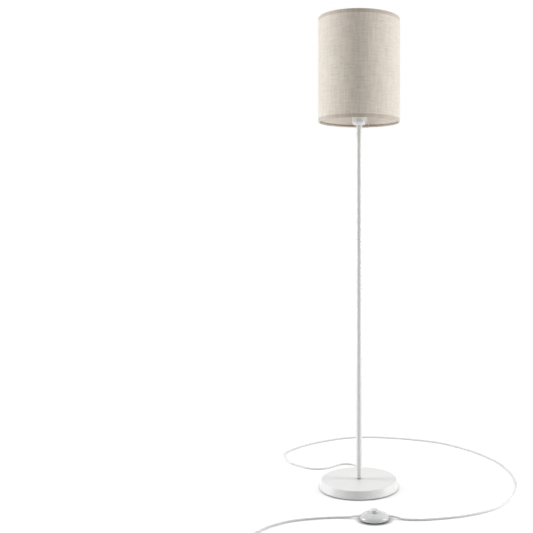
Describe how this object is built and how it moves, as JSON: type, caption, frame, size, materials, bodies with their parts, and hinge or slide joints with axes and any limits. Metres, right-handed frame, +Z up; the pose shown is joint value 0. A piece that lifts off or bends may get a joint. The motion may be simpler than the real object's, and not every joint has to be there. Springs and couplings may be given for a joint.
{
  "type": "column floor lamp",
  "caption": "Column floor lamp: round weighted base, slim three-part pole, cylinder fabric shade on a wire spider, bulb, cord with foot switch and flat plug.",
  "frame": {"origin": "on the floor, on the axis of the pole", "axes": "+Z up along the pole; -Y towards the front, where the foot switch lies; +X to the right"},
  "size_m": [0.7017, 0.936, 1.261],
  "materials": {
    "white_paint": "gloss white powder coat",
    "cast_weight": "raw casting, dark",
    "felt": "dense grey felt",
    "zinc": "zinc plated steel",
    "brass": "plain brass, threaded",
    "white_plastic": "glossy white moulding",
    "soft_white": "soft white PVC, satin",
    "cord_white": "white PVC sheath, satin",
    "grey_ring": "mid grey spacer, satin",
    "phenolic": "pale insulating moulding",
    "core_brown": "insulated core",
    "linen": "beige linen look, slubbed weave",
    "liner": "smooth translucent liner",
    "wire_white": "white coated wire",
    "opal": "opal globe, satin",
    "bulb_white": "white moulding",
    "nickel": "nickel plated",
    "black_plastic": "black moulding",
    "board": "coated metal board",
    "rubber_grey": "grey non-slip rubber",
    "steel_spring": "spring steel",
    "tie_black": "black strap"
  },
  "bodies": {
    "root": {"base_pad": "felt", "base_weight": "cast_weight", "base_cover": "white_paint", "base_washer": "zinc", "base_nut": "brass", "base_nipple": "brass", "cord_gland": "soft_white", "cord_clamp": "zinc", "clamp_screws": "zinc", "inner_lead": "cord_white", "foot_ring": "grey_ring", "pole_lower": "white_paint", "pole_middle": "white_paint", "pole_upper": "white_paint", "pole_bushes": "brass", "pole_nipples": "brass", "top_nipple": "brass", "holder_cap": "white_plastic", "holder_skirt": "white_plastic", "holder_core": "phenolic", "terminal_screws": "brass", "lead_cores": "core_brown", "screw_shell": "brass", "centre_contact": "brass", "lock_ring": "white_plastic", "spider": "wire_white", "bottom_wire": "wire_white", "top_wire": "wire_white", "shade_liner": "liner", "shade_fabric": "linen", "switch_pad": "rubber_grey", "switch_plate": "white_plastic", "switch_screws": "zinc", "switch_cover": "white_plastic", "switch_bushes": "soft_white", "switch_clamps": "white_plastic", "switch_leads": "cord_white", "switch_cores": "core_brown", "switch_contacts": "brass", "switch_terminals": "zinc", "switch_cell": "black_plastic", "switch_spring": "steel_spring", "cord_to_switch": "cord_white", "cord_from_switch": "cord_white", "cord_coil": "cord_white", "coil_ties": "tie_black", "cord_to_plug": "cord_white", "plug_relief": "soft_white", "plug_body": "white_plastic", "plug_pins": "nickel", "plug_sleeves": "black_plastic"},
    "bulb": {"bulb_contact": "nickel", "bulb_insulator": "black_plastic", "bulb_cap": "nickel", "bulb_housing": "bulb_white", "bulb_board": "board", "bulb_globe": "opal"},
    "button": {"switch_button": "white_plastic"}
  },
  "joints": [
    {"name": "button_press", "type": "slide", "parent": "root", "child": "button", "axis": [0, 0, -1], "range_m": [0, 0.0035], "stiffness_N_per_m": 2000, "springref_m": -0.003, "deforming": ["switch_spring"]},
    {"name": "bulb_lift", "type": "slide", "parent": "root", "child": "bulb", "axis": [0, 0, 1], "range_m": [0, 0.04]}
  ]
}
